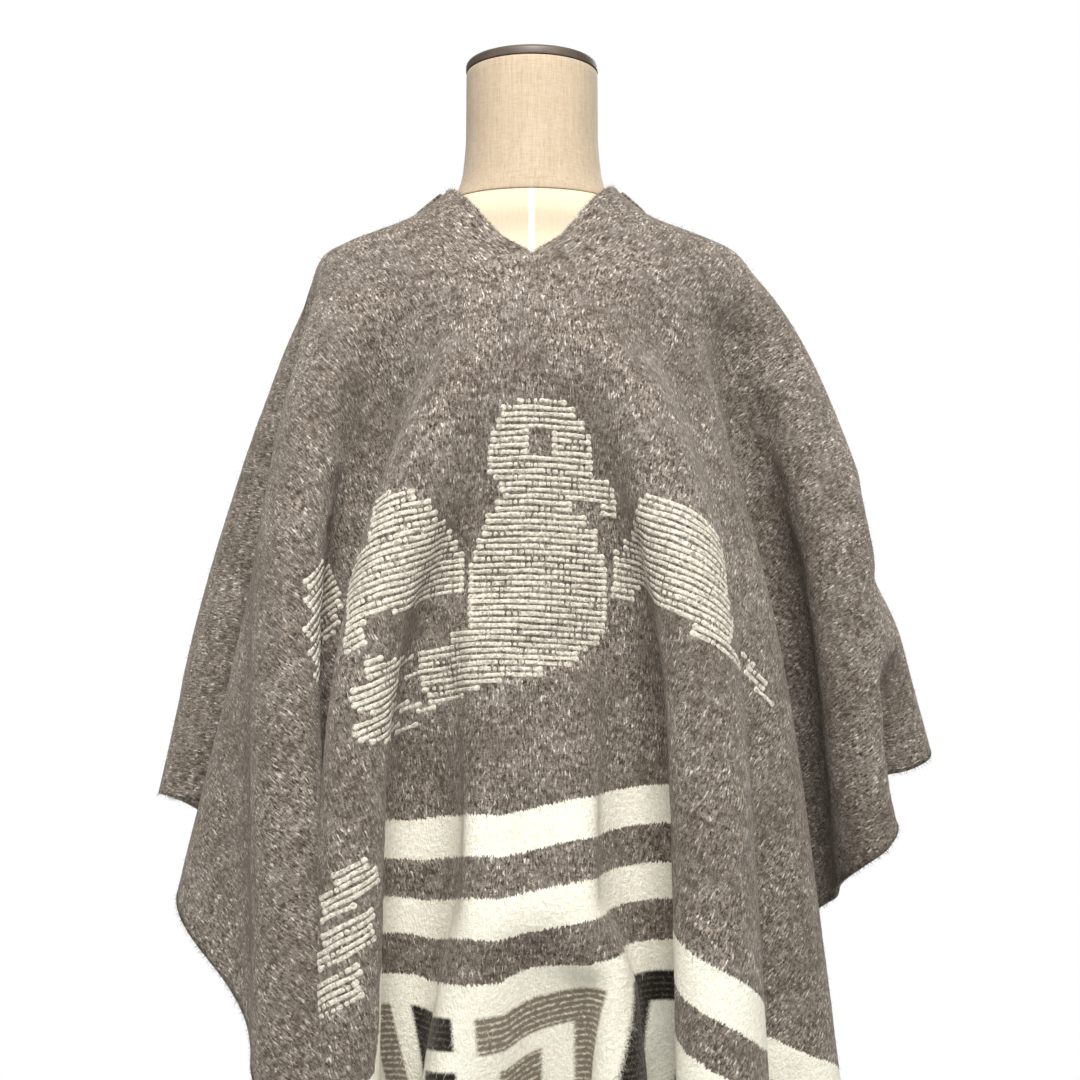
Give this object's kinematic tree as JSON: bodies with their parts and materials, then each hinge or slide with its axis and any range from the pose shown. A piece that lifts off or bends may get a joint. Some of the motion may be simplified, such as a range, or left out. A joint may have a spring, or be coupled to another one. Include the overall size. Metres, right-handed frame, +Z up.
{
  "type": "hooded poncho on a limbless dress form",
  "caption": "Thick felted wool poncho with a head slit and a hood lying down the back, draped in deep flutes over a linen dress form on a round stand.",
  "frame": {"origin": "on the floor under the middle of the stand's base", "axes": "+Z up, -Y towards the front of the poncho, +X to the right as seen from the front"},
  "size_m": [0.7453, 0.6945, 1.547],
  "materials": {
    "felt": "heathered grey-brown felted wool with a short nap",
    "yarn": "thick cream wool yarn, raised in the weave",
    "linen": "plain woven natural linen",
    "dark_metal": "satin dark brown paint"
  },
  "bodies": {
    "root": {"front_panel": "felt", "back_panel": "felt", "hood": "felt", "form_torso": "linen", "form_neck": "linen", "neck_cap": "dark_metal", "stand_collar": "dark_metal", "stand_pole": "dark_metal", "stand_base": "dark_metal"}
  },
  "joints": []
}
